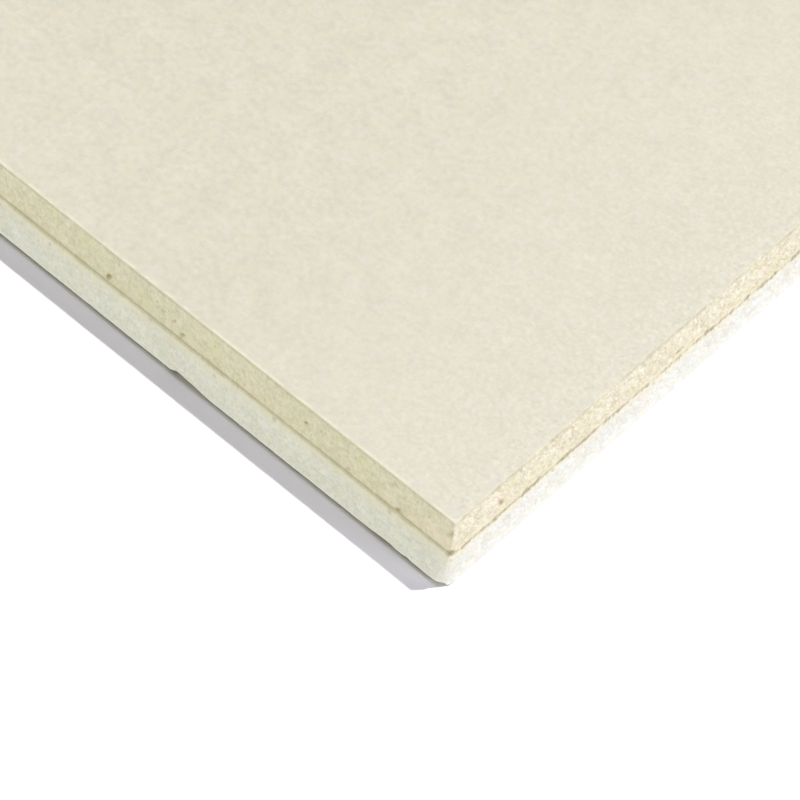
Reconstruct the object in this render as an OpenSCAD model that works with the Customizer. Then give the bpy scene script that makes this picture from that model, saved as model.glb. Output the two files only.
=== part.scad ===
// Insulated drywall sheet: paper-faced gypsum board with a bead-foam backing.
// Millimetres, +Z up. The sheet lies flat, foam side down, centred on the origin.

/* [Sheet] */
// Length of the sheet, along X
sheet_length = 2400; // [600:50:3600]
// Width of the sheet, along Y
sheet_width = 1200; // [300:50:1250]

/* [Gypsum board] */
// Thickness of the gypsum board with both of its papers
board_thickness = 12.5; // [9.5:0.5:19]
// Thickness of the ivory face paper
face_paper_thickness = 0.5; // [0.3:0.05:1]
// Thickness of the brown back paper
back_paper_thickness = 0.5; // [0.3:0.05:1]

/* [Foam] */
// Thickness of the foam backing
foam_thickness = 13.5; // [10:0.5:120]
// Rounding of the lower arrises of the foam
foam_arris_radius = 1; // [0.5:0.1:4]

/* [Hidden] */
$fn = 48;
// the gypsum fills what the two papers leave of the board
core_thickness = board_thickness - face_paper_thickness - back_paper_thickness;
// heights of the joints between the layers, counted from the floor
back_paper_bottom = foam_thickness;
core_bottom = back_paper_bottom + back_paper_thickness;
face_paper_bottom = core_bottom + core_thickness;
// how far a cutter runs past the faces it cuts
cutter_overrun = 2;

// one layer of the sheet, cut square on all four edges
module layer(bottom, thickness) {
    translate([-sheet_length / 2, -sheet_width / 2, bottom])
        cube([sheet_length, sheet_width, thickness]);
}

// the waste outside a rounded arris, a bar along Y with its corner on the Y axis
module arris_waste(length) {
    rotate([90, 0, 0])
        linear_extrude(height = length + 2 * cutter_overrun, center = true)
            difference() {
                translate([-cutter_overrun, -cutter_overrun])
                    square(cutter_overrun + foam_arris_radius);
                translate([foam_arris_radius, foam_arris_radius])
                    circle(r = foam_arris_radius);
            }
}

module face_paper() {
    color([0.90, 0.87, 0.80])
        layer(face_paper_bottom, face_paper_thickness);
}

module gypsum_core() {
    color([0.94, 0.91, 0.81])
        layer(core_bottom, core_thickness);
}

module back_paper() {
    color([0.62, 0.56, 0.45])
        layer(back_paper_bottom, back_paper_thickness);
}

module foam_backing() {
    color([0.96, 0.96, 0.93])
        difference() {
            layer(0, foam_thickness);
            // the two ends
            for (turn = [0, 180])
                rotate([0, 0, turn])
                    translate([-sheet_length / 2, 0, 0])
                        arris_waste(sheet_width);
            // the two long edges
            for (turn = [90, 270])
                rotate([0, 0, turn])
                    translate([-sheet_width / 2, 0, 0])
                        arris_waste(sheet_length);
        }
}

face_paper();
gypsum_core();
back_paper();
foam_backing();
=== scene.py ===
import math
import bpy
import numpy as np
from mathutils import Matrix, Vector


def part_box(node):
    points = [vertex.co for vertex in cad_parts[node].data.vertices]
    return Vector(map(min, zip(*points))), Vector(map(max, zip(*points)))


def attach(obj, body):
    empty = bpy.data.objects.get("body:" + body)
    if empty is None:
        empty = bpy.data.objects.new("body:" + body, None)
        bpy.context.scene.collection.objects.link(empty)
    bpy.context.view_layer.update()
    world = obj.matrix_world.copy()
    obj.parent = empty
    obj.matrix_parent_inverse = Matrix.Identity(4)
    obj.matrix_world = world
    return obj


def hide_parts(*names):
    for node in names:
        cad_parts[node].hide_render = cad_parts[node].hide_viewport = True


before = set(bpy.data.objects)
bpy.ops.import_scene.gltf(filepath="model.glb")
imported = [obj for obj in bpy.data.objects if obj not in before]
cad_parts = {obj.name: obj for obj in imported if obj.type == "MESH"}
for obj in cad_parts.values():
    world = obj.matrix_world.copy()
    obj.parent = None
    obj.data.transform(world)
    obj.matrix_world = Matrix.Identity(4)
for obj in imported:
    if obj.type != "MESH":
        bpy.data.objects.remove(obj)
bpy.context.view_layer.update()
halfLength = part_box("face_paper")[1].x
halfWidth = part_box("face_paper")[1].y
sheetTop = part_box("face_paper")[1].z
mm = 0.001
print("frame loaded, sheet", round(2 * halfLength, 3), "by", round(2 * halfWidth, 3), "m")


# small helpers for colours and nodes

def paint(red, green, blue):  # a colour as a paint chart gives it, 0 to 255, made linear
    channels = []
    for value in (red / 255, green / 255, blue / 255):
        channels.append(value / 12.92 if value <= 0.04045 else ((value + 0.055) / 1.055) ** 2.4)
    return (*channels, 1.0)


def addNode(tree, kind, **settings):
    node = tree.nodes.new(kind)
    for name, value in settings.items():
        setattr(node, name, value)
    return node


def feed(tree, socket, value):  # a value is a number, a tuple or another node's output
    if isinstance(value, bpy.types.NodeSocket):
        tree.links.new(value, socket)
    else:
        socket.default_value = value


def wire(tree, kind, inputs, output=0, **settings):  # adds and feeds a node, gives one output or all
    node = addNode(tree, kind, **settings)
    for name, value in inputs.items():
        feed(tree, node.inputs[name], value)
    return node.outputs if output is None else node.outputs[output]


def calc(tree, operation, *values):
    return wire(tree, "ShaderNodeMath", dict(enumerate(values)), operation=operation)


def times(tree, first, *others):
    for other in others:
        first = calc(tree, "MULTIPLY", first, other)
    return first


def byEdge(tree, onEnds, longEdge, end):  # a value that differs between the long edges and the ends
    return calc(tree, "MULTIPLY_ADD", onEnds, end - longEdge, longEdge)


def ramp(tree, value, low, high, start=0.0, end=1.0):  # smooth step from start to end
    inputs = {"Value": value, "From Min": low, "From Max": high, "To Min": start, "To Max": end}
    return wire(tree, "ShaderNodeMapRange", inputs, interpolation_type="SMOOTHSTEP")


def stretch(tree, vector, factors):  # squeezes a pattern along an axis
    return wire(tree, "ShaderNodeVectorMath", {0: vector, 1: factors}, operation="MULTIPLY")


sawDrag = {"lean": math.radians(31), "long": 1.9}  # the saw draws the grain out along a leaning axis


def drawnOut(tree, vector):
    inputs = {"Vector": vector, "Angle": -sawDrag["lean"]}
    turned = wire(tree, "ShaderNodeVectorRotate", inputs, rotation_type="X_AXIS")
    return stretch(tree, turned, (1.0, 1.0, 1.0 / sawDrag["long"]))


def axisOf(tree, vector, axis):
    return wire(tree, "ShaderNodeSeparateXYZ", {0: vector}, axis)


def slide(tree, vector, seed):  # moves a pattern, so that two of one kind differ
    step = (0.37 * seed, 0.61 * seed, 0.23 * seed)
    return wire(tree, "ShaderNodeVectorMath", {0: vector, 1: step}, operation="ADD")


def noise(tree, vector, scale, detail=2.0, roughness=0.5, seed=0.0):
    place = slide(tree, vector, seed)
    inputs = {"Vector": place, "Scale": scale, "Detail": detail, "Roughness": roughness}
    return wire(tree, "ShaderNodeTexNoise", inputs, "Fac", noise_dimensions="3D")


def cells(tree, vector, scale, feature, seed, output="Distance"):
    inputs = {"Vector": slide(tree, vector, seed), "Scale": scale}
    return wire(tree, "ShaderNodeTexVoronoi", inputs, output, voronoi_dimensions="3D", feature=feature)


def cellDraws(tree, vector, scale, seed):  # three random numbers for each cell
    inGeometry = tree.bl_idname == "GeometryNodeTree"
    kind = "FunctionNodeSeparateColor" if inGeometry else "ShaderNodeSeparateColor"
    return wire(tree, kind, {0: cells(tree, vector, scale, "F1", seed, "Color")}, None)


def blend(tree, factor, first, second):  # mixes two colours
    return wire(tree, "ShaderNodeMix", {0: factor, 6: first, 7: second}, 2, data_type="RGBA")


def addSockets(tree, direction, kind, names):
    for name in names:
        tree.interface.new_socket(name=name, in_out=direction, socket_type="NodeSocket" + kind)


# the sheet's outline as stations round its four edges, close-set near the photographed corner

outline = {
    "fineReach": 165 * mm,  # close-set stations run this far from the corner
    "fineStep": 0.45 * mm,
    "coarseStep": 4.5 * mm,
    "growReach": 90 * mm,  # over this length the step grows
    "wander": 0.12 * mm,  # how far the saw cut leaves a straight line
    "waveLengths": (11, 24, 53, 130, 340),  # of the saw cut, in mm
    "endBlend": 3 * mm,  # the look of the ends comes in over this length from a corner
    "cornerFade": 4 * mm,  # the saw's waves and the foam's lean fade out this close to a corner
    "samples": 40001,  # along a side, from which the stations are picked
    "seed": 7,
}


def stationsAlong(length, fineAt):
    grid = np.linspace(0.0, length, outline["samples"])
    away = np.abs(grid - fineAt) if fineAt is not None else np.full(grid.shape, length)
    grow = np.clip((away - outline["fineReach"]) / outline["growReach"], 0.0, 1.0)
    density = 1.0 / (outline["fineStep"] * (outline["coarseStep"] / outline["fineStep"]) ** grow)
    count = np.concatenate([[0.0], np.cumsum(0.5 * (density[1:] + density[:-1]) * np.diff(grid))])
    return np.interp(np.linspace(0.0, count[-1], math.ceil(count[-1]) + 1), count, grid)


def makeSides():  # counter-clockwise from above, starting at the photographed corner
    signs = ((1, -1), (1, 1), (-1, 1), (-1, -1))
    corners = [np.array((x * halfLength, y * halfWidth)) for x, y in signs]
    fineEnds = (0.0, None, None, 2 * halfLength)
    sides = []
    for index, fineAt in enumerate(fineEnds):
        run = corners[(index + 1) % 4] - corners[index]
        length = float(np.hypot(*run))
        direction = run / length
        sides.append({
            "start": corners[index],
            "direction": direction,
            "outward": np.array([direction[1], -direction[0]]),
            "length": length,
            "stations": stationsAlong(length, fineAt),
            "isEnd": index % 2 == 0,
            "seed": outline["seed"] + index,
        })
    return sides


sides = makeSides()
print("stations on the four edges:", [len(side["stations"]) for side in sides])


def cutWander(side, along):  # slow waves of the saw cut, the same through all layers
    random = np.random.default_rng(side["seed"])
    waves = np.zeros_like(along)
    for waveLength in outline["waveLengths"]:
        turn = random.uniform(0, 2 * np.pi)
        waves += np.sin(2 * np.pi * along / (waveLength * mm) + turn) * random.uniform(0.4, 1.0)
    fade = np.clip(np.minimum(along, side["length"] - along) / outline["cornerFade"], 0.0, 1.0)
    return outline["wander"] * (0.5 + waves / (len(outline["waveLengths"]) + 1)) * fade


diagonal = math.sqrt(0.5)
cornerEase = {
    "push": (-0.26 * mm, 0.75 * mm, 0.38 * mm),
    "reach": 3.4 * mm,  # along the edges
    "tall": 15 * mm,  # above this the corner is left as cut
    "deep": 7 * mm,
}


# closed layer: rings from the middle of its top, over the cut edge, to the middle of its underside

class LayerMesh:
    capSteps = ((3, 4), (14, 16), (60, 64), (250, 200))  # inset in mm and every how many stations
    shapingMarks = ("fromCorner", "nearCorner", "onFront", "isEnd", "inset")  # used while shaping only

    def __init__(self, cornerRadius):
        self.cornerRadius = cornerRadius
        self.points = []
        self.faces = []
        self.marks = {}
        self.count = 0
        self.lastRing = None

    def ring(self, inset, height, every=1, cutFace=0.0, give=None):
        starts = []
        for index, side in enumerate(sides):
            along = side["stations"][:-1:every]
            number = len(along)
            near = np.minimum(along, side["length"] - along)
            radius = self.cornerRadius
            onArc = radius + diagonal * (near - radius)
            turned = np.where(near < radius, onArc, near)  # onto the rounded corner
            extra = radius - np.sqrt(np.maximum(radius ** 2 - np.maximum(radius - turned, 0.0) ** 2, 0.0))
            placed = np.where(along <= side["length"] / 2, turned, side["length"] - turned)
            placed = inset + placed * (side["length"] - 2 * inset) / side["length"]
            depth = inset + extra + cutWander(side, along)
            flat = side["start"] + np.outer(placed, side["direction"]) - np.outer(depth, side["outward"])
            outward = np.tile(np.append(side["outward"], 0.0), (number, 1))
            outward[0, :2] += sides[index - 1]["outward"]
            fromCorner = along if index == 0 else side["length"] - along
            self.points.append(np.column_stack([flat, np.full(number, height)]))
            marks = {
                "outward": outward,
                "cutFace": cutFace,
                "give": cutFace if give is None else give,
                "isEnd": float(side["isEnd"]),
                "endFace": side["isEnd"] * np.clip(near / outline["endBlend"], 0.0, 1.0),
                "fromCorner": fromCorner if index in (0, 3) else 2 * halfLength,
                "nearCorner": near,
                "onFront": float(index == 3),
                "inset": inset,
            }
            for name, value in marks.items():
                values = value if np.ndim(value) else np.full(number, value)
                self.marks.setdefault(name, []).append(values)
            starts.append(self.count)
            self.count += number
        ends = starts[1:] + [self.count]
        rows = [list(range(a, b)) + [b if b < self.count else starts[0]] for a, b in zip(starts, ends)]
        if self.lastRing is None:
            self.faces.append([i for row in rows for i in row[:-1]])
        else:
            self.join(self.lastRing, rows)
        self.lastRing = rows

    def join(self, upper, lower):
        for first, second in zip(upper, lower):
            if len(first) == len(second):
                self.faces.extend(zip(first[:-1], second[:-1], second[1:], first[1:]))
                continue
            i = j = 0
            while i < len(first) - 1 or j < len(second) - 1:  # zips rings of unlike density with triangles
                firstBehind = (i + 1) / (len(first) - 1) <= (j + 1) / (len(second) - 1)
                if j == len(second) - 1 or (i < len(first) - 1 and firstBehind):
                    self.faces.append((first[i], second[j], first[i + 1]))
                    i += 1
                else:
                    self.faces.append((first[i], second[j], second[j + 1]))
                    j += 1

    def layTop(self, height, inset=0.0):
        for depth, every in reversed(self.capSteps):
            self.ring(inset + depth * mm, height, every)

    def layUnderside(self, height, inset=0.0):
        for depth, every in self.capSteps:
            self.ring(inset + depth * mm, height, every)
        self.faces.append([i for row in self.lastRing for i in row[:-1]][::-1])
        self.points = np.concatenate(self.points)
        self.marks = {name: np.concatenate(parts) for name, parts in self.marks.items()}

    def easeCorner(self):  # the photographed corner is pushed in and lifted, most at the floor
        share = np.clip(1 - self.marks["fromCorner"] / cornerEase["reach"], 0, 1)
        share = share * share * (3 - 2 * share)
        share *= np.clip(1 - self.points[:, 2] / cornerEase["tall"], 0, 1)
        share *= np.clip(1 - self.marks["inset"] / cornerEase["deep"], 0, 1)
        self.points += share[:, None] * np.array(cornerEase["push"])

    def sinkPits(self, depth):  # a pit of the gypsum goes on into this layer
        self.marks["pit"] = spotField(self, "deep")
        sunk = depth * self.marks["pit"] * self.marks["give"]
        self.points -= self.marks["outward"] * sunk[:, None]

    def onEdge(self, edge):  # which vertices lie on the photographed corner's front or end edge
        near = self.marks["fromCorner"] < halfLength
        if edge == "corner":
            return near
        return near & ((self.marks["onFront"] > 0.5) == (edge == "front"))

    def toObject(self, name):
        mesh = bpy.data.meshes.new(name)
        mesh.from_pydata(self.points.tolist(), [], self.faces)
        for mark, values in self.marks.items():
            if mark in self.shapingMarks:
                continue
            kind, field = ("FLOAT_VECTOR", "vector") if values.ndim == 2 else ("FLOAT", "value")
            stored = mesh.attributes.new(mark, kind, "POINT")
            stored.data.foreach_set(field, values.astype(np.float32).ravel())
        piece = bpy.data.objects.new(name, mesh)
        bpy.context.scene.collection.objects.link(piece)
        return piece


# geometry node trees that give each cut edge its relief

def newTree(name, inputs):
    tree = bpy.data.node_groups.new(name, "GeometryNodeTree")
    addSockets(tree, "INPUT", "Geometry", ["Geometry"])
    addSockets(tree, "OUTPUT", "Geometry", ["Geometry"])
    addSockets(tree, "INPUT", "Float", inputs)
    addSockets(tree, "INPUT", "Material", ["Material"])
    given = addNode(tree, "NodeGroupInput").outputs
    return tree, given, addNode(tree, "GeometryNodeInputPosition").outputs[0]


def readMark(tree, name, kind="FLOAT"):
    return wire(tree, "GeometryNodeInputNamedAttribute", {"Name": name}, "Attribute", data_type=kind)


def sinkCut(tree, geometry, depth):  # moves the cut face inwards by depth
    outward = readMark(tree, "outward", "FLOAT_VECTOR")
    inputs = {0: outward, "Scale": times(tree, depth, readMark(tree, "give"), -1.0)}
    offset = wire(tree, "ShaderNodeVectorMath", inputs, operation="SCALE")
    return wire(tree, "GeometryNodeSetPosition", {"Geometry": geometry, "Offset": offset})


def endTree(tree, geometry, material):
    plain = wire(tree, "GeometryNodeRealizeInstances", {0: geometry})
    dressed = wire(tree, "GeometryNodeSetMaterial", {"Geometry": plain, "Material": material})
    feed(tree, addNode(tree, "NodeGroupOutput").inputs[0], dressed)
    return tree


def beadReliefTree(seed):  # fused beads: shallow grooves between them, each bead cut at its own height
    labels = ("Bead Size", "Groove Depth", "Height Spread", "Torn Share", "Torn Depth")
    tree, given, place = newTree("beadRelief", labels)
    scale = calc(tree, "DIVIDE", 1.0, given["Bead Size"])
    border = cells(tree, place, scale, "DISTANCE_TO_EDGE", seed)
    draws = cellDraws(tree, place, scale, seed)
    groove = times(tree, ramp(tree, border, 0.0, 0.22, 1.0, 0.0), given["Groove Depth"])
    level = times(tree, draws[0], given["Height Spread"])
    isTorn = calc(tree, "LESS_THAN", draws[1], given["Torn Share"])
    torn = times(tree, isTorn, ramp(tree, border, 0.0, 0.3), given["Torn Depth"])
    depth = calc(tree, "ADD", calc(tree, "ADD", groove, level), torn)
    return endTree(tree, sinkCut(tree, given["Geometry"], depth), given["Material"])


def cutReliefTree(seed):  # sawn gypsum: fine grain, leaning flakes, most of them on the ends, and marked pits
    labels = ("Grain Size", "Grain Depth", "Flake Size", "Flake Depth", "Pit Depth")
    tree, given, place = newTree("cutRelief", labels)
    grain = noise(tree, place, calc(tree, "DIVIDE", 1.0, given["Grain Size"]), 3.0, 0.6, seed)
    flakeScale = calc(tree, "DIVIDE", 1.0, given["Flake Size"])
    draws = cellDraws(tree, drawnOut(tree, place), flakeScale, seed)
    flakeShare = byEdge(tree, readMark(tree, "endFace"), 0.15, 1.0)
    flake = times(tree, draws[0], given["Flake Depth"], flakeShare)
    crumble = ramp(tree, noise(tree, place, 1100.0, 2.0, 0.6, seed + 1), 0.3, 0.7, 0.35, 1.3)
    pit = times(tree, readMark(tree, "pit"), given["Pit Depth"], crumble)
    depth = calc(tree, "ADD", times(tree, grain, given["Grain Depth"]), calc(tree, "ADD", flake, pit))
    return endTree(tree, sinkCut(tree, given["Geometry"], depth), given["Material"])


def fibreTube(tree, length, width):  # one bent fibre along +Z, few-sided
    bends = {
        "Start": (0, 0, -0.3), "Start Handle": (0.15, 0, 0.1),
        "End Handle": (0.2, 0.1, 0.5), "End": (0, 0.3, 0.9),
    }
    inputs = {label: stretch(tree, shares, length) for label, shares in bends.items()}
    stem = wire(tree, "GeometryNodeCurvePrimitiveBezierSegment", dict(inputs, Resolution=4))
    inputs = {"Resolution": 3, "Radius": times(tree, width, 0.5)}
    profile = wire(tree, "GeometryNodeCurvePrimitiveCircle", inputs, mode="RADIUS")
    inputs = {"Curve": stem, "Profile Curve": profile, "Fill Caps": True}
    return wire(tree, "GeometryNodeCurveToMesh", inputs)


def randomValue(tree, kind, low, high, seed):
    first, output = (0, 0) if kind == "FLOAT_VECTOR" else (2, 1)
    inputs = {first: low, first + 1: high, "Seed": seed}
    return wire(tree, "FunctionNodeRandomValue", inputs, output, data_type=kind)


def cutFibreTree():  # ragged cut edge of a paper with short fibres that stand out of it
    labels = ("Share", "Fibre Length", "Fibre Width", "Edge Grain", "End Tear", "Tear Size")
    tree, given, place = newTree("cutFibres", labels)
    ragged = times(tree, noise(tree, place, 900.0, 2.0, 0.6), given["Edge Grain"])
    tearScale = calc(tree, "DIVIDE", 1.0, given["Tear Size"])
    bitten = ramp(tree, noise(tree, place, tearScale, 3.0, 0.65, 3.0), 0.38, 0.68)
    torn = times(tree, bitten, given["End Tear"], readMark(tree, "endFace"))
    body = sinkCut(tree, given["Geometry"], calc(tree, "ADD", ragged, torn))
    picked = calc(tree, "LESS_THAN", randomValue(tree, "FLOAT", 0.0, 1.0, 3), given["Share"])
    inputs = {"Mesh": body, "Selection": times(tree, picked, readMark(tree, "fibreRow"))}
    points = wire(tree, "GeometryNodeMeshToPoints", inputs, mode="VERTICES")
    inputs = {"Vector": readMark(tree, "outward", "FLOAT_VECTOR")}
    aim = wire(tree, "FunctionNodeAlignRotationToVector", inputs, axis="Z")
    turn = randomValue(tree, "FLOAT_VECTOR", (-0.9, -0.9, -3.1), (0.9, 0.9, 3.1), 5)
    planted = wire(tree, "GeometryNodeInstanceOnPoints", {
        "Points": points,
        "Instance": fibreTube(tree, given["Fibre Length"], given["Fibre Width"]),
        "Rotation": wire(tree, "FunctionNodeRotateRotation", {0: aim, 1: turn}, rotation_space="LOCAL"),
        "Scale": randomValue(tree, "FLOAT", 0.4, 1.2, 8),
    })
    together = addNode(tree, "GeometryNodeJoinGeometry")
    feed(tree, together.inputs[0], planted)
    feed(tree, together.inputs[0], body)
    return endTree(tree, together.outputs[0], given["Material"])


def shapeWith(piece, tree, values, material):  # runs a tree on a piece and keeps the plain mesh
    modifier = piece.modifiers.new(tree.name, "NODES")
    modifier.node_group = tree
    wanted = dict(values, Material=material)
    for item in tree.interface.items_tree:
        if item.in_out == "INPUT" and item.name in wanted:
            modifier[item.identifier] = wanted[item.name]
    bpy.context.view_layer.update()
    depsgraph = bpy.context.evaluated_depsgraph_get()
    shaped = bpy.data.meshes.new_from_object(piece.evaluated_get(depsgraph))
    piece.modifiers.remove(modifier)
    plain = piece.data
    piece.data = shaped
    bpy.data.meshes.remove(plain)
    shaped.name = piece.name
    return piece


# shader groups that several materials share

def newShaderGroup(name, inputs, outputs):
    group = bpy.data.node_groups.new(name, "ShaderNodeTree")
    addSockets(group, "INPUT", "Vector", ["Vector"])
    addSockets(group, "INPUT", "Float", inputs)
    addSockets(group, "OUTPUT", "Float", outputs)
    return group, addNode(group, "NodeGroupInput").outputs, addNode(group, "NodeGroupOutput").inputs


def cloudToneGroup():  # cloudy tone at three sizes and a slow change of hue, all about 0.5 on average
    labels = ("Broad", "Middle", "Fine")
    group, given, out = newShaderGroup("cloudTone", labels, ("Tone", "Fine Tone", "Hue"))
    broad = noise(group, given["Vector"], given["Broad"], 2.0, 0.5, 1.0)
    middle = noise(group, given["Vector"], given["Middle"], 2.0, 0.5, 2.0)
    fine = noise(group, given["Vector"], given["Fine"], 2.0, 0.6, 3.0)
    summed = calc(group, "MULTIPLY_ADD", broad, 0.2, times(group, middle, 0.3))
    feed(group, out["Tone"], calc(group, "MULTIPLY_ADD", fine, 0.5, summed))
    feed(group, out["Fine Tone"], fine)
    feed(group, out["Hue"], noise(group, given["Vector"], times(group, given["Middle"], 1.7), 1.0, 0.5, 4.0))
    return group


def gritGroup():  # small dark pores and a fine height for bump
    group, given, out = newShaderGroup("grit", ("Size", "Share", "Roughness"), ("Pores", "Height"))
    scale = calc(group, "DIVIDE", 1.0, given["Size"])
    spot = cells(group, given["Vector"], scale, "F1", 4.0)
    draws = cellDraws(group, given["Vector"], scale, 4.0)
    chosen = calc(group, "LESS_THAN", draws[0], given["Share"])
    reach = calc(group, "MULTIPLY_ADD", draws[1], 0.3, 0.12)
    pore = times(group, chosen, ramp(group, calc(group, "DIVIDE", spot, reach), 0.3, 1.0, 1.0, 0.0))
    fine = noise(group, given["Vector"], times(group, scale, 1.6), 3.0, given["Roughness"], 5.0)
    feed(group, out["Pores"], pore)
    feed(group, out["Height"], calc(group, "SUBTRACT", fine, times(group, pore, 0.6)))
    return group


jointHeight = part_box("back_paper")[0].z
# the dark seam at the joint is a glue line with painted shade of the gap under the board
seam = {  # each pair is for the long edges and for the ends
    "height": (jointHeight + 0.07 * mm, jointHeight - 0.77 * mm),
    "swing": (0.8 * mm, 2.4 * mm),
    "reach": (1.3 * mm, 1.2 * mm),
    "weakest": (0.58, 0.2),  # strength of its faint stretches
    "crumbling": (0.13, 0.3),
    "colours": (paint(210, 201, 172.5), paint(170, 156.5, 128)),
}


def seamLineGroup():  # dark seam under the board, a glue line with painted shade of the gap: nearly straight on the long edges, wavy on the ends
    group, given, out = newShaderGroup("seamLine", ("End Face",), ("Line",))
    onEnds = given["End Face"]
    names = ("height", "swing", "reach", "weakest", "crumbling")
    centre, swing, reach, weakest, crumbling = (byEdge(group, onEnds, *seam[name]) for name in names)
    along = stretch(group, given["Vector"], (1.0, 1.0, 0.0))
    drift = calc(group, "SUBTRACT", noise(group, along, 75.0, 4.0, 0.7, 6.0), 0.5)
    centre = calc(group, "MULTIPLY_ADD", drift, swing, centre)
    gap = calc(group, "ABSOLUTE", calc(group, "SUBTRACT", axisOf(group, given["Vector"], "Z"), centre))
    strength = ramp(group, noise(group, along, 250.0, 3.0, 0.65, 7.0), 0.38, 0.62, weakest, 0.9)
    crumbs = ramp(group, noise(group, given["Vector"], 900.0, 2.0, 0.6, 8.0), 0.35, 0.65, -1.0, 1.0)
    strength = times(group, strength, calc(group, "MULTIPLY_ADD", crumbs, crumbling, 1.0))
    reach = times(group, reach, calc(group, "MULTIPLY_ADD", strength, 0.9, 0.42))
    line = ramp(group, calc(group, "DIVIDE", gap, reach), 0.2, 1.0, 1.0, 0.0)
    feed(group, out["Line"], times(group, line, strength))
    return group


cloudTone = cloudToneGroup()
grit = gritGroup()
seamLine = seamLineGroup()


def emptyTree(owner):  # of a material or a world
    owner.use_nodes = True
    owner.node_tree.nodes.clear()
    return owner.node_tree


def newMaterial(name, specular):
    material = bpy.data.materials.new(name)
    tree = emptyTree(material)
    shader = addNode(tree, "ShaderNodeBsdfPrincipled")
    shader.inputs["Specular IOR Level"].default_value = specular
    feed(tree, addNode(tree, "ShaderNodeOutputMaterial").inputs["Surface"], shader.outputs[0])
    return material, tree, shader, addNode(tree, "ShaderNodeTexCoord").outputs["Object"]


def placeGroup(tree, group, vector, **values):
    return wire(tree, "ShaderNodeGroup", dict(values, Vector=vector), None, node_tree=group)


def attribute(tree, name):
    return addNode(tree, "ShaderNodeAttribute", attribute_name=name).outputs["Fac"]


def addBump(tree, shader, height, strength, distance):
    inputs = {"Strength": strength, "Distance": distance, "Height": height}
    feed(tree, shader.inputs["Normal"], wire(tree, "ShaderNodeBump", inputs))


def shadeRoughness(tree, shader, tone, low, high):
    feed(tree, shader.inputs["Roughness"], ramp(tree, tone, 0.25, 0.75, low, high))


def mottle(tree, vector, colour, scale, seed, dark, light, amount):  # fine light and dark flecks
    fine = noise(tree, vector, scale, 2.0, 0.6, seed)
    colour = blend(tree, times(tree, ramp(tree, fine, 0.28, 0.5, 1.0, 0.0), amount), colour, dark)
    return blend(tree, times(tree, ramp(tree, fine, 0.5, 0.72), amount), colour, light)


def addSeam(tree, place, colour, onEnds):
    line = placeGroup(tree, seamLine, place, **{"End Face": onEnds})["Line"]
    return blend(tree, line, colour, blend(tree, onEnds, *seam["colours"]))


def layTints(tree, colour, settings, tints):  # lays named tints over a colour, each through its mask
    for name, mask in tints:
        colour = blend(tree, mask, colour, settings[name])
    return colour


# gypsum core

gypsum = {
    "cornerRadius": 0.35 * mm,
    "rows": 26,
    "relief": {
        "Grain Size": 1.1 * mm, "Grain Depth": 0.14 * mm, "Flake Size": 1.2 * mm,
        "Flake Depth": 0.1 * mm, "Pit Depth": 0.4 * mm,
    },
    "seed": 4.0,
    "spotLean": 0.5,  # the saw drags each spot to one side by this share of its height
    # in mm: place from the corner and below the face, half sizes; then how deep, rusty or pink it is
    "spots": {
        "front": [
            {"place": (105.4, 10.3), "half": (1.2, 1.9), "deep": 0.8, "rust": 0.7},
            {"place": (88.5, 7.3), "half": (0.9, 1.3), "deep": 0.55},
            {"place": (84.6, 7.2), "half": (1.1, 1.8), "deep": 0.35, "rust": 0.4},
            {"place": (82.0, 10.3), "half": (1.2, 1.8), "deep": 0.95},
            {"place": (64.9, 8.4), "half": (0.9, 1.4), "deep": 0.5, "rust": 0.2},
            {"place": (44.1, 6.4), "half": (0.8, 1.2), "deep": 0.8},
            {"place": (31.1, 10.8), "half": (1.0, 1.3), "deep": 0.5, "rust": 0.2},
            {"place": (18.0, 3.4), "half": (0.8, 1.2), "deep": 0.6},
            {"place": (16.0, 11.5), "half": (2.0, 1.8), "deep": 0.35, "rust": 0.6},
            {"place": (2.0, 8.2), "half": (10.0, 5.0), "pink": 0.85},
            {"place": (0.4, 4.9), "half": (1.9, 3.0), "deep": 0.15, "rust": 0.65},
        ],
        "end": [
            {"place": (16.2, 8.4), "half": (1.4, 2.7), "deep": 0.3, "rust": 0.6},
            {"place": (15.5, 5.6), "half": (2.4, 3.0), "pink": 0.8},
            {"place": (78.3, 10.8), "half": (2.2, 1.3), "deep": 0.6, "rust": 0.5},
        ],
        "corner": [{"place": (0.0, 12.3), "half": (2.1, 2.7), "deep": 1.0}],
    },
    "shadeTop": 0.3 * mm,  # the shade under the face paper is full to here
    "shadeDepths": (1.3 * mm, 1.8 * mm),  # and ends here, as the seam's pairs
    "footDepths": (4 * mm, 11 * mm),  # below its top the core grows yellower from here to here
    "light": paint(250, 242, 224.5),
    "dark": paint(229.5, 219.5, 196),
    "cool": paint(236, 231, 213),
    "pink": paint(254, 237, 219),
    "moss": paint(233, 231, 201),
    "white": paint(252, 246, 227),
    "line": paint(206, 188, 150),
    "shade": paint(205, 198, 180),
    "endShade": paint(210, 200, 176),
    "foot": paint(228, 213, 180),
    "tan": paint(219, 206, 178),
    "dot": paint(184, 175, 150),
    "yellow": paint(242, 235, 196),
    "fleck": paint(213, 203, 173),
    "stain": paint(138, 126, 86),
    "rust": paint(168, 136, 104),
}


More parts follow.
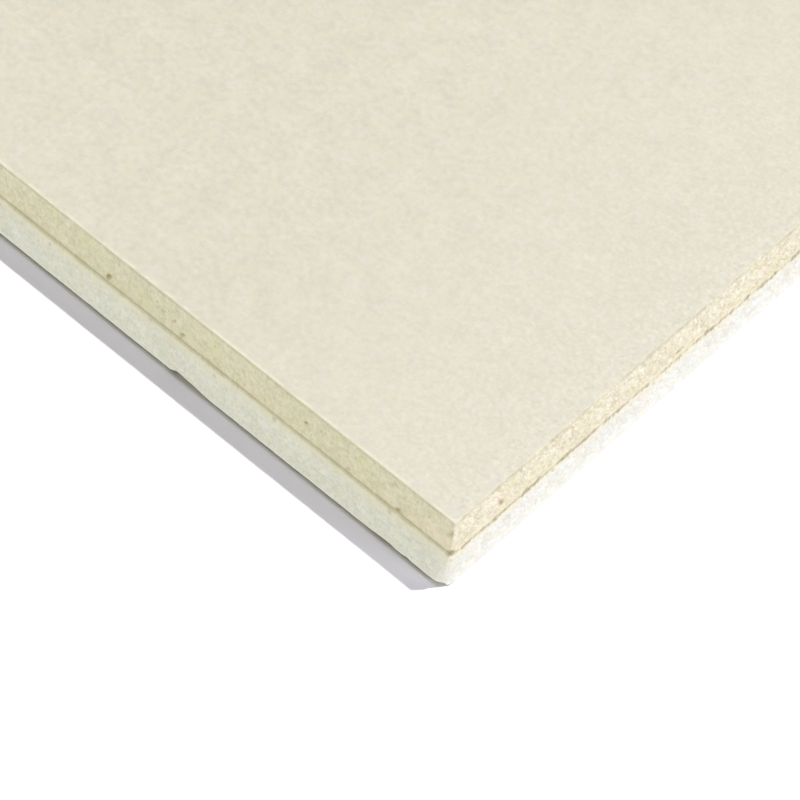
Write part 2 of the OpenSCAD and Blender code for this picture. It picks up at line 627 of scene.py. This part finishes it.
def gypsumMaterial():
    material, tree, shader, place = newMaterial("cutGypsum", 0.1)
    onEnds = attribute(tree, "endFace")
    grain = drawnOut(tree, place)
    clouds = placeGroup(tree, cloudTone, grain, Broad=30.0, Middle=420.0, Fine=760.0)
    pores = placeGroup(tree, grit, grain, Size=1.2 * mm, Share=0.3, Roughness=0.65)
    flakeScale = 1.0 / gypsum["relief"]["Flake Size"]
    flakeEdge = cells(tree, grain, flakeScale, "DISTANCE_TO_EDGE", gypsum["seed"])
    draws = cellDraws(tree, grain, flakeScale, gypsum["seed"])
    colour = blend(tree, ramp(tree, clouds["Tone"], 0.37, 0.63), gypsum["dark"], gypsum["light"])
    rosy = ramp(tree, noise(tree, grain, 280.0, seed=15.0), 0.48, 0.68, 0.0, 0.7)
    colour = layTints(tree, colour, gypsum, (
        ("cool", ramp(tree, clouds["Hue"], 0.45, 0.7, 0.0, 0.5)),
        ("pink", times(tree, rosy, byEdge(tree, onEnds, 0.4, 1.0))),
        ("moss", ramp(tree, noise(tree, grain, 250.0, seed=18.0), 0.5, 0.7, 0.0, 0.6)),
        ("white", times(tree, ramp(tree, draws[2], 0.6, 0.9), onEnds, 0.7)),
        ("yellow", ramp(tree, noise(tree, place, 200.0, seed=11.0), 0.48, 0.68, 0.0, 0.4)),
    ))
    for scale, seed, amount in ((1500.0, 12.0, 0.45), (800.0, 16.0, 0.25)):
        colour = mottle(tree, grain, colour, scale, seed, gypsum["fleck"], gypsum["white"], amount)
    blotches = ramp(tree, noise(tree, grain, 640.0, 2.0, 0.55, 9.0), 0.44, 0.7, 0.0, 0.7)
    crack = times(tree, ramp(tree, flakeEdge, 0.0, 0.13, 1.0, 0.0), byEdge(tree, onEnds, 0.15, 1.0))
    dots = placeGroup(tree, grit, slide(tree, grain, 3.0), Size=1.3 * mm, Share=0.05, Roughness=0.5)
    colour = layTints(tree, colour, gypsum, (
        ("tan", times(tree, blotches, onEnds)),
        ("line", times(tree, crack, ramp(tree, clouds["Fine Tone"], 0.4, 0.56, 0.2, 0.0))),
        ("line", times(tree, pores["Pores"], byEdge(tree, onEnds, 0.5, 0.3))),
        ("dot", times(tree, dots["Pores"], 0.85)),
    ))
    below = calc(tree, "SUBTRACT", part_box("gypsum_core")[1].z, axisOf(tree, place, "Z"))
    shadeDepth = byEdge(tree, onEnds, *gypsum["shadeDepths"])
    nearPaper = ramp(tree, below, gypsum["shadeTop"], shadeDepth, 0.52, 0.0)
    broken = ramp(tree, noise(tree, place, 170.0, 4.0, 0.65, 17.0), 0.4, 0.6, 1.6, 0.35)
    nearPaper = times(tree, nearPaper, blend(tree, onEnds, (1.0, 1.0, 1.0, 1.0), broken))
    nearPaper = times(tree, nearPaper, ramp(tree, clouds["Fine Tone"], 0.3, 0.7, 1.3, 0.6))
    colour = blend(tree, nearPaper, colour, blend(tree, onEnds, gypsum["shade"], gypsum["endShade"]))
    patchy = ramp(tree, clouds["Fine Tone"], 0.3, 0.65, 1.3, 0.6)
    pitted, rusty = (times(tree, attribute(tree, mark), patchy) for mark in ("pit", "rust"))
    colour = layTints(tree, colour, gypsum, (
        ("foot", ramp(tree, below, *gypsum["footDepths"], 0.0, 0.15)),
        ("pink", times(tree, attribute(tree, "pink"), ramp(tree, clouds["Tone"], 0.35, 0.65, 0.5, 1.0))),
        ("stain", ramp(tree, pitted, 0.05, 1.0, 0.0, 0.8)),
        ("rust", ramp(tree, rusty, 0.0, 1.0, 0.0, 0.75)),
    ))
    feed(tree, shader.inputs["Base Color"], addSeam(tree, place, colour, onEnds))
    shadeRoughness(tree, shader, clouds["Tone"], 0.86, 0.96)
    addBump(tree, shader, pores["Height"], 0.4, 0.3 * mm)
    return material


def spotField(layer, kind):  # how deep, rusty or pink each vertex is, from the listed spots
    field = np.zeros(len(layer.points))
    along = layer.marks["fromCorner"] / mm
    below = (sheetTop - layer.points[:, 2]) / mm
    for edge, spots in gypsum["spots"].items():
        for spot in spots:
            drop = below - spot["place"][1]
            aside = along - spot["place"][0] - gypsum["spotLean"] * drop
            wide, high = spot["half"]
            share = np.clip(1 - (aside / wide) ** 2 - (drop / high) ** 2, 0, None) ** 1.5
            field = np.maximum(field, np.where(layer.onEdge(edge), spot.get(kind, 0.0) * share, 0.0))
    return field


def makeGypsum():
    low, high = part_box("gypsum_core")
    layer = LayerMesh(gypsum["cornerRadius"])
    layer.layTop(high.z)
    for height in np.linspace(high.z, low.z, gypsum["rows"]):
        layer.ring(0.0, height, cutFace=1.0)
    layer.layUnderside(low.z)
    layer.easeCorner()
    for mark, kind in (("pit", "deep"), ("rust", "rust"), ("pink", "pink")):
        layer.marks[mark] = spotField(layer, kind)
    relief = cutReliefTree(gypsum["seed"])
    return shapeWith(layer.toObject("gypsumCore"), relief, gypsum["relief"], gypsumMaterial())


gypsumCore = makeGypsum()
print("gypsum core:", len(gypsumCore.data.polygons), "faces")


# papers of the gypsum board

ivoryPaper = {
    "cornerRadius": 0.35 * mm,
    "relief": {
        "Share": 0.35, "Fibre Length": 0.55 * mm, "Fibre Width": 0.035 * mm,
        "Edge Grain": 0.06 * mm, "End Tear": 0.2 * mm, "Tear Size": 3 * mm,
    },
    "endLightRamps": ((90 * mm, 0.3), (11 * mm, 0.2)),  # painted light, the paper lighter towards the ends: reach from the ends, strength
    "light": paint(237.4, 231.2, 213.3),
    "dark": paint(220.9, 214.7, 196.8),
    "warm": paint(232, 225.2, 203.3),
    "fibre": paint(205, 195, 170),
    # painted highlight on the paper's cut face along the long edges
    "cutFront": paint(240, 232, 212),
    # the cut end's own tan, darkened in strokes as painted shade in step with the shade on the gypsum below
    "cutEnd": paint(218, 210, 186),
    # painted highlight along the cut arris of the face paper
    "dust": paint(248, 243, 219),
    # painted light near the ends
    "endLightTint": paint(243, 238, 222),
    "fleck": paint(220, 214, 196),
    "pale": paint(233.8, 228.2, 214.5),
    "bloom": paint(249, 244, 230),
}
brownPaper = {
    "cornerRadius": 0.35 * mm,
    "relief": {
        "Share": 0.45, "Fibre Length": 0.6 * mm, "Fibre Width": 0.04 * mm,
        "Edge Grain": 0.03 * mm, "End Tear": 0.0, "Tear Size": 3 * mm,
    },
    "light": paint(200, 187, 148),
    "dark": paint(164, 145, 104),
    "dust": paint(238, 229, 206),
    "stain": paint(138, 126, 86),
}


def ivoryPaperMaterial():
    material, tree, shader, place = newMaterial("ivoryFacePaper", 0.2)
    clouds = placeGroup(tree, cloudTone, place, Broad=7.0, Middle=140.0, Fine=560.0)
    fibres = placeGroup(tree, grit, place, Size=1.1 * mm, Share=0.3, Roughness=0.6)
    colour = blend(tree, ramp(tree, clouds["Tone"], 0.3, 0.7), ivoryPaper["dark"], ivoryPaper["light"])
    # painted light: the paper grows lighter, paler and more flecked towards the ends
    fromEnd = calc(tree, "SUBTRACT", halfLength, calc(tree, "ABSOLUTE", axisOf(tree, place, "X")))
    endLightRamps = [ramp(tree, fromEnd, 0.0, reach, share, 0.0) for reach, share in ivoryPaper["endLightRamps"]]
    endLit = calc(tree, "ADD", *endLightRamps)
    colour = layTints(tree, colour, ivoryPaper, (
        ("warm", ramp(tree, clouds["Hue"], 0.45, 0.7, 0.0, 0.6)),
        ("fibre", times(tree, fibres["Pores"], 0.18)),
        ("endLightTint", endLit),
    ))
    flecked = times(tree, endLit, 1.35)
    colour = mottle(tree, place, colour, 950.0, 12.0, ivoryPaper["fleck"], ivoryPaper["bloom"], flecked)
    paled = ramp(tree, clouds["Hue"], 0.3, 0.46, 1.0, 0.0)
    onEnds = attribute(tree, "endFace")
    cut = attribute(tree, "cutFace")
    # painted highlight along the cut arris, full on the long edges, faint on the ends
    arrisHighlight = times(tree, attribute(tree, "arris"), byEdge(tree, onEnds, 1.0, 0.2))
    patchy = ramp(tree, noise(tree, place, 330.0, 3.0, 0.6, 13.0), 0.4, 0.6, 0.05, 1.0)
    # strokes of painted shade on the cut end, in step with those on the gypsum
    cutEndStrokes = ramp(tree, noise(tree, place, 170.0, 4.0, 0.65, 17.0), 0.4, 0.6, 1.0, 0.4)
    colour = layTints(tree, colour, ivoryPaper, (
        ("pale", times(tree, paled, calc(tree, "MULTIPLY_ADD", endLit, 0.5, 0.3))),
        ("dust", times(tree, arrisHighlight, patchy)),
        # painted highlight on the cut face along the long edges
        ("cutFront", times(tree, cut, byEdge(tree, onEnds, 1.0, 0.0))),
        ("cutEnd", times(tree, cut, onEnds, cutEndStrokes)),
    ))
    feed(tree, shader.inputs["Base Color"], colour)
    shadeRoughness(tree, shader, clouds["Tone"], 0.74, 0.88)
    addBump(tree, shader, calc(tree, "ADD", fibres["Height"], clouds["Fine Tone"]), 0.2, 0.15 * mm)
    return material


def brownPaperMaterial():
    material, tree, shader, place = newMaterial("brownBackPaper", 0.15)
    clouds = placeGroup(tree, cloudTone, place, Broad=20.0, Middle=160.0, Fine=500.0)
    chalk = placeGroup(tree, grit, place, Size=1.4 * mm, Share=0.4, Roughness=0.6)
    colour = blend(tree, ramp(tree, clouds["Tone"], 0.38, 0.62), brownPaper["dark"], brownPaper["light"])
    onEnds = attribute(tree, "endFace")
    dusted = times(tree, attribute(tree, "cutFace"), byEdge(tree, onEnds, 0.82, 0.92))
    colour = layTints(tree, colour, brownPaper, (
        ("dust", calc(tree, "MAXIMUM", dusted, times(tree, chalk["Pores"], 0.5))),
        ("stain", ramp(tree, attribute(tree, "pit"), 0.05, 1.0, 0.0, 0.8)),
    ))
    feed(tree, shader.inputs["Base Color"], addSeam(tree, place, colour, onEnds))
    shadeRoughness(tree, shader, clouds["Tone"], 0.8, 0.92)
    addBump(tree, shader, chalk["Height"], 0.3, 0.15 * mm)
    return material


paperCut = {  # rings at the cut edge of both papers
    "capInset": 1.0 * mm,
    "tornInsets": (1.9, 1.4, 1.0, 0.7, 0.4, 0.15),  # in mm, these follow the cut where it is torn
    "tornReach": 2.0,  # in mm
    "cutShares": (0.06, 0.25, 0.6, 1.0),  # of the thickness, downwards
    "fibreShare": 0.25,  # fibres stand out of this one
    "arrisReach": 1.0 * mm,
    "underInset": 1.5 * mm,
    "underGive": 0.3,
}


def makePaper(name, node, settings, material, tree):
    low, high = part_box(node)
    thickness = high.z - low.z
    layer = LayerMesh(settings["cornerRadius"])
    layer.layTop(high.z, paperCut["capInset"])
    for inset in paperCut["tornInsets"]:
        layer.ring(inset * mm, high.z, give=1 - inset / paperCut["tornReach"])
    for share in paperCut["cutShares"]:
        layer.ring(0.0, high.z - thickness * share, cutFace=1.0)
    layer.ring(paperCut["underInset"], low.z, give=paperCut["underGive"])
    layer.layUnderside(low.z)
    height = layer.points[:, 2]
    nearCut = np.clip(1 - layer.marks["inset"] / paperCut["arrisReach"], 0, 1)
    layer.marks["arris"] = np.where(height > high.z - 0.1 * thickness, nearCut, 0.0)
    layer.sinkPits(gypsum["relief"]["Pit Depth"])
    layer.easeCorner()
    fibreHeight = high.z - thickness * paperCut["fibreShare"]
    layer.marks["fibreRow"] = np.where(np.isclose(height, fibreHeight), 1.0, 0.0)
    return shapeWith(layer.toObject(name), tree, settings["relief"], material)


cutFibres = cutFibreTree()
facePaper = makePaper("facePaper", "face_paper", ivoryPaper, ivoryPaperMaterial(), cutFibres)
backPaper = makePaper("backPaper", "back_paper", brownPaper, brownPaperMaterial(), cutFibres)
print("papers:", len(facePaper.data.polygons), "and", len(backPaper.data.polygons), "faces")


# foam backing

foam = {
    "cornerRadius": 1.0 * mm,
    "rows": 27,
    "arris": 0.55 * mm,  # its radius
    "arrisTurns": (15, 30, 52, 75),  # rings round it, in degrees
    "lip": 0.35 * mm,  # on the long edges the lower arris stands this far above the floor
    "endLip": 0.01 * mm,  # and on the ends
    "lean": 0.36 * mm,  # by which the long edges lean out towards the floor
    "underReach": 4.5 * mm,  # the underside comes down to the floor over this length
    "underSteps": 6,
    "relief": {
        "Bead Size": 2.6 * mm, "Groove Depth": 0.04 * mm, "Height Spread": 0.04 * mm,
        "Torn Share": 0.02, "Torn Depth": 0.25 * mm,
    },
    "seed": 2.0,
    "bites": [  # broken stretches of the lower arris in mm: they grow from near to peak and end at far
        {"edge": "front", "near": 71, "peak": 82.5, "far": 85, "rise": 0.9, "push": 0.2, "tall": 6},
        {"edge": "front", "near": 14.5, "peak": 16.5, "far": 25, "rise": 0.3, "push": 0.1, "tall": 6},
    ],
    "riseFade": 3,  # a bite's lift fades over this length inwards, in mm
    "pushReach": 7,  # and its push ends here
    "chalkDepths": (0.8 * mm, 5.5 * mm),  # a chalky band thins from here to here under the board
    "speckDepths": (1 * mm, 8 * mm),  # and so do the specks
    "rimFoot": 0.9 * mm,
    "rimTops": (2.2 * mm, 5 * mm),  # of the rim of painted light at the floor, which lifts the foot's shade, as the seam's pairs
    "light": paint(251, 247, 242),
    "dark": paint(235, 230, 220),
    "cool": paint(236, 238, 235),
    "warm": paint(249, 238, 224),
    "chalk": paint(246.5, 236.7, 210),
    # painted shade in the grooves between the beads
    "groove": paint(216, 214, 200),
    "speck": paint(180, 182, 170),
    # pale flecks, and the painted light at the foot
    "rim": paint(255, 253, 247),
    "flaw": paint(214, 211, 198),
    "stain": paint(150, 142, 100),
}


def foamMaterial():
    material, tree, shader, place = newMaterial("beadFoam", 0.25)
    onEnds = attribute(tree, "endFace")
    scale = 1.0 / foam["relief"]["Bead Size"]
    border = cells(tree, place, scale, "DISTANCE_TO_EDGE", foam["seed"])
    beadTone = cellDraws(tree, place, scale, foam["seed"])[2]
    grain = drawnOut(tree, place)
    clouds = placeGroup(tree, cloudTone, grain, Broad=14.0, Middle=260.0, Fine=600.0)
    specks = placeGroup(tree, grit, grain, Size=2.3 * mm, Share=0.4, Roughness=0.6)
    tone = calc(tree, "MULTIPLY_ADD", beadTone, 0.15, times(tree, clouds["Tone"], 0.85))
    colour = blend(tree, ramp(tree, tone, 0.35, 0.65), foam["dark"], foam["light"])
    hueShare = byEdge(tree, onEnds, 0.6, 0.76)
    colour = layTints(tree, colour, foam, (
        ("cool", times(tree, ramp(tree, clouds["Hue"], 0.45, 0.68, 0.0, 0.75), hueShare)),
        ("warm", times(tree, ramp(tree, clouds["Hue"], 0.3, 0.48, 0.7, 0.0), hueShare)),
    ))
    for scale, seed, amount in ((1400.0, 12.0, 0.46), (520.0, 14.0, times(tree, onEnds, 0.35))):
        colour = mottle(tree, grain, colour, scale, seed, foam["flaw"], foam["rim"], amount)
    groove = ramp(tree, border, 0.0, 0.2, 1.0, 0.0)
    level = axisOf(tree, place, "Z")
    below = calc(tree, "SUBTRACT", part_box("foam_backing")[1].z, level)
    chalky = ramp(tree, below, *foam["chalkDepths"], 1.0, 0.0)
    rimTop = byEdge(tree, onEnds, *foam["rimTops"])
    colour = layTints(tree, colour, foam, (
        # painted shade in the grooves between the beads
        ("groove", times(tree, groove, ramp(tree, clouds["Tone"], 0.4, 0.6, 0.04, 0.18))),
        ("chalk", times(tree, chalky, byEdge(tree, onEnds, 0.5, 0.75))),
        # painted light at the foot, lifting its shade beside the shadowed floor
        ("rim", ramp(tree, level, foam["rimFoot"], rimTop, byEdge(tree, onEnds, 0.62, 0.32), 0.0)),
        ("speck", times(tree, specks["Pores"], ramp(tree, below, *foam["speckDepths"], 0.5, 0.1))),
    ))
    colour = addSeam(tree, place, colour, onEnds)
    stained = ramp(tree, attribute(tree, "pit"), 0.05, 1.0, 0.0, 0.8)
    feed(tree, shader.inputs["Base Color"], blend(tree, stained, colour, foam["stain"]))
    shadeRoughness(tree, shader, tone, 0.68, 0.85)
    rounded = times(tree, ramp(tree, border, 0.0, 0.25), 0.3)
    height = calc(tree, "MULTIPLY_ADD", specks["Height"], 0.6, rounded)
    addBump(tree, shader, height, 0.22, 0.25 * mm)
    return material


def biteShare(distance, bite):  # 0 at near and far, 1 at the peak
    rising = (distance / mm - bite["near"]) / (bite["peak"] - bite["near"])
    falling = (bite["far"] - distance / mm) / (bite["far"] - bite["peak"])
    share = np.clip(np.minimum(rising, falling), 0.0, 1.0)
    return share * share * (3 - 2 * share)


def settleEdges(layer, floorHeight):  # the ends lie closer to the floor, and the long edges lean out
    height = layer.points[:, 2] - floorHeight
    onEnds = layer.marks["isEnd"] > 0.5
    low = onEnds & (height < foam["lip"] + 1.01 * foam["arris"])
    share = np.clip(1 - height / (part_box("foam_backing")[1].z - floorHeight), 0, 1)
    share *= np.clip(1 - layer.marks["inset"] / foam["underReach"], 0, 1)
    share *= np.clip(layer.marks["nearCorner"] / outline["cornerFade"], 0, 1)
    layer.points += layer.marks["outward"] * np.where(onEnds, 0.0, foam["lean"] * share)[:, None]
    layer.points[low, 2] = floorHeight + height[low] * foam["endLip"] / foam["lip"]
    inset = np.minimum(layer.marks["inset"], foam["arris"])
    layer.points[low] += layer.marks["outward"][low] * inset[low, None]


def biteArris(layer, floorHeight):  # lifts and pushes in the lower arris where it is broken
    height = (layer.points[:, 2] - floorHeight) / mm
    inset = layer.marks["inset"] / mm
    rise = np.zeros(len(height))
    push = np.zeros(len(height))
    for bite in foam["bites"]:
        share = np.where(layer.onEdge(bite["edge"]), biteShare(layer.marks["fromCorner"], bite), 0.0)
        share *= np.clip(1 - height / bite["tall"], 0, 1)
        rise = np.maximum(rise, share * bite["rise"] * np.exp(-inset / foam["riseFade"]))
        push = np.maximum(push, share * bite["push"] * np.clip(1 - inset / foam["pushReach"], 0, 1))
    layer.points[:, 2] += rise * mm
    layer.points -= layer.marks["outward"] * push[:, None] * mm


def makeFoam():
    low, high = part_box("foam_backing")
    layer = LayerMesh(foam["cornerRadius"])
    layer.layTop(high.z)
    radius = foam["arris"]
    for height in np.linspace(high.z, low.z + foam["lip"] + radius, foam["rows"]):
        layer.ring(0.0, height, cutFace=1.0)
    for turn in np.radians(foam["arrisTurns"]):
        height = low.z + foam["lip"] + radius * (1 - np.sin(turn))
        layer.ring(radius * (1 - np.cos(turn)), height, cutFace=1.0)
    for share in np.linspace(0, 1, foam["underSteps"] + 1)[1:]:
        layer.ring(foam["underReach"] * share, low.z + foam["lip"] * (1 - share ** 2), give=1 - share)
    layer.layUnderside(low.z, foam["underReach"])
    layer.sinkPits(gypsum["relief"]["Pit Depth"])
    settleEdges(layer, low.z)
    biteArris(layer, low.z)
    layer.easeCorner()
    piece = layer.toObject("foamBacking")
    return shapeWith(piece, beadReliefTree(foam["seed"]), foam["relief"], foamMaterial())


foamBacking = makeFoam()
print("foam backing:", len(foamBacking.data.polygons), "faces")

for piece, node, slotName in (
    (facePaper, "face_paper", "face_paper"),
    (gypsumCore, "gypsum_core", "gypsum"),
    (backPaper, "back_paper", "back_paper"),
    (foamBacking, "foam_backing", "foam"),
):
    piece.data.polygons.foreach_set("use_smooth", [False] * len(piece.data.polygons))
    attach(piece, "root")
    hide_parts(node)


# floor, light and camera

studio = {
    "floorSize": 80.0,
    "floorColour": (0.2, 0.2, 0.2, 1.0),
    "floorSeen": (1.065, 1.045, 1.195, 1.0),  # by the camera: white in the light, faintly mauve in shade
    "floorBeside": (1.012, 0.972, 0.956, 1.0),  # the same close to the sheet: painted cream bounce light from the sheet
    "besideReach": (0.2 * mm, 1.5 * mm),  # over which that fades
    "floorDrop": 0.05 * mm,  # clear of the foam's underside
    "worldLight": 0.08,
    "lampDistance": 3.0,
    "key": {"from": (0.195, 0.214, 1.0), "strength": 2.13, "soft": 1.4, "colour": (1.0, 1.0, 1.0)},
    "top": {"from": (0.02, 0.034, 1.0), "strength": 0.22, "soft": 0.6, "colour": (1.0, 1.0, 1.0)},
    "end": {"from": (1.0, 0.12, 0.14), "strength": 3.11, "soft": 30.0, "colour": (0.972, 0.99, 1.0)},
    "front": {"from": (-0.2, -1.0, 0.04), "strength": 2.45, "soft": 8.0, "colour": (0.965, 1.0, 0.874)},
    "back": {"from": (-0.95, 0.85, -0.0005), "strength": 2.3, "soft": 0.2, "colour": (1.0, 1.0, 1.0)},
}


def seenDirectly(tree):  # by the camera or in a reflection
    path = addNode(tree, "ShaderNodeLightPath").outputs
    mirrored = calc(tree, "MAXIMUM", path["Is Glossy Ray"], path["Is Transmission Ray"])
    return calc(tree, "MAXIMUM", path["Is Camera Ray"], mirrored)


def makeFloor():
    reach = studio["floorSize"] / 2
    corners = [(x * reach, y * reach, 0) for x, y in ((-1, -1), (1, -1), (1, 1), (-1, 1))]
    mesh = bpy.data.meshes.new("floor")
    mesh.from_pydata(corners, [], [(0, 1, 2, 3)])
    floor = bpy.data.objects.new("floor", mesh)
    bpy.context.scene.collection.objects.link(floor)
    floor.location.z = -studio["floorDrop"]
    material = bpy.data.materials.new("studioFloor")
    tree = emptyTree(material)
    place = addNode(tree, "ShaderNodeTexCoord").outputs["Object"]
    outside = []
    for axis, half in (("X", halfLength), ("Y", halfWidth)):
        outside.append(calc(tree, "SUBTRACT", calc(tree, "ABSOLUTE", axisOf(tree, place, axis)), half))
    # painted bounce light from the sheet on the floor beside it
    beside = ramp(tree, calc(tree, "MAXIMUM", *outside), *studio["besideReach"], 1.0, 0.0)
    seen = blend(tree, beside, studio["floorSeen"], studio["floorBeside"])
    colour = blend(tree, seenDirectly(tree), studio["floorColour"], seen)
    matte = wire(tree, "ShaderNodeBsdfDiffuse", {"Color": colour})
    feed(tree, addNode(tree, "ShaderNodeOutputMaterial").inputs["Surface"], matte)
    mesh.materials.append(material)
    return floor


def makeWorld():
    world = bpy.data.worlds.new("studioWorld")
    tree = emptyTree(world)
    strength = ramp(tree, seenDirectly(tree), 0.0, 1.0, studio["worldLight"], 1.0)
    sky = wire(tree, "ShaderNodeBackground", {"Color": (1.0, 1.0, 1.0, 1.0), "Strength": strength})
    feed(tree, addNode(tree, "ShaderNodeOutputWorld").inputs["Surface"], sky)
    bpy.context.scene.world = world


def makeLamp(name):
    settings = studio[name]
    lamp = bpy.data.lights.new(name + "Lamp", "SUN")
    lamp.energy = settings["strength"]
    lamp.angle = math.radians(settings["soft"])
    lamp.color = settings["colour"]
    holder = bpy.data.objects.new(name + "Lamp", lamp)
    holder.rotation_mode = "QUATERNION"
    holder.rotation_quaternion = Vector(settings["from"]).to_track_quat("Z", "Y")
    holder.location = Vector(settings["from"]) * studio["lampDistance"]
    bpy.context.scene.collection.objects.link(holder)
    return holder


def passFloor(lamp, floor):  # a level lamp lights the far edges only: the floor neither shows nor blocks it
    skipped = bpy.data.collections.new("floorSkipped")
    skipped.objects.link(floor)
    skipped.collection_objects[0].light_linking.link_state = "EXCLUDE"
    lamp.light_linking.receiver_collection = skipped
    lamp.light_linking.blocker_collection = skipped


photo = {
    "size": 800,
    "corner": (455.7, 523.9),  # pixel of the face's near corner
    "pixelsPerMetre": 4594.0,  # at that corner
    "distance": 1.0,
    "azimuth": 36.07, "elevation": 53.66, "roll": 7.69,
    "sensor": 36.0,
    "clip": (0.05, 200.0),
}


def makeCamera():
    azimuth, elevation, roll = (math.radians(photo[name]) for name in ("azimuth", "elevation", "roll"))
    level = Vector((math.cos(azimuth), math.sin(azimuth), 0.0))
    ahead = Vector((math.sin(azimuth), -math.cos(azimuth), 0.0))
    back = ahead * math.cos(elevation) + Vector((0.0, 0.0, math.sin(elevation)))
    upright = back.cross(level)
    right = level * math.cos(roll) + upright * math.sin(roll)
    up = upright * math.cos(roll) - level * math.sin(roll)
    corner = Vector((halfLength, -halfWidth, sheetTop))
    middle = photo["size"] / 2
    sideways = (photo["corner"][0] - middle) / photo["pixelsPerMetre"]
    downwards = (photo["corner"][1] - middle) / photo["pixelsPerMetre"]
    place = corner + back * photo["distance"] - right * sideways + up * downwards
    lens = bpy.data.cameras.new("photoCamera")
    lens.sensor_width = photo["sensor"]
    lens.lens = photo["pixelsPerMetre"] * photo["distance"] / photo["size"] * photo["sensor"]
    lens.clip_start, lens.clip_end = photo["clip"]
    camera = bpy.data.objects.new("photoCamera", lens)
    camera.matrix_world = Matrix.Translation(place) @ Matrix((right, up, back)).transposed().to_4x4()
    bpy.context.scene.collection.objects.link(camera)
    bpy.context.scene.camera = camera


floor = makeFloor()
makeWorld()
for lampName in ("key", "top", "end", "front"):
    makeLamp(lampName)
passFloor(makeLamp("back"), floor)
makeCamera()
bpy.context.scene.view_settings.view_transform = "Standard"
print("studio ready")
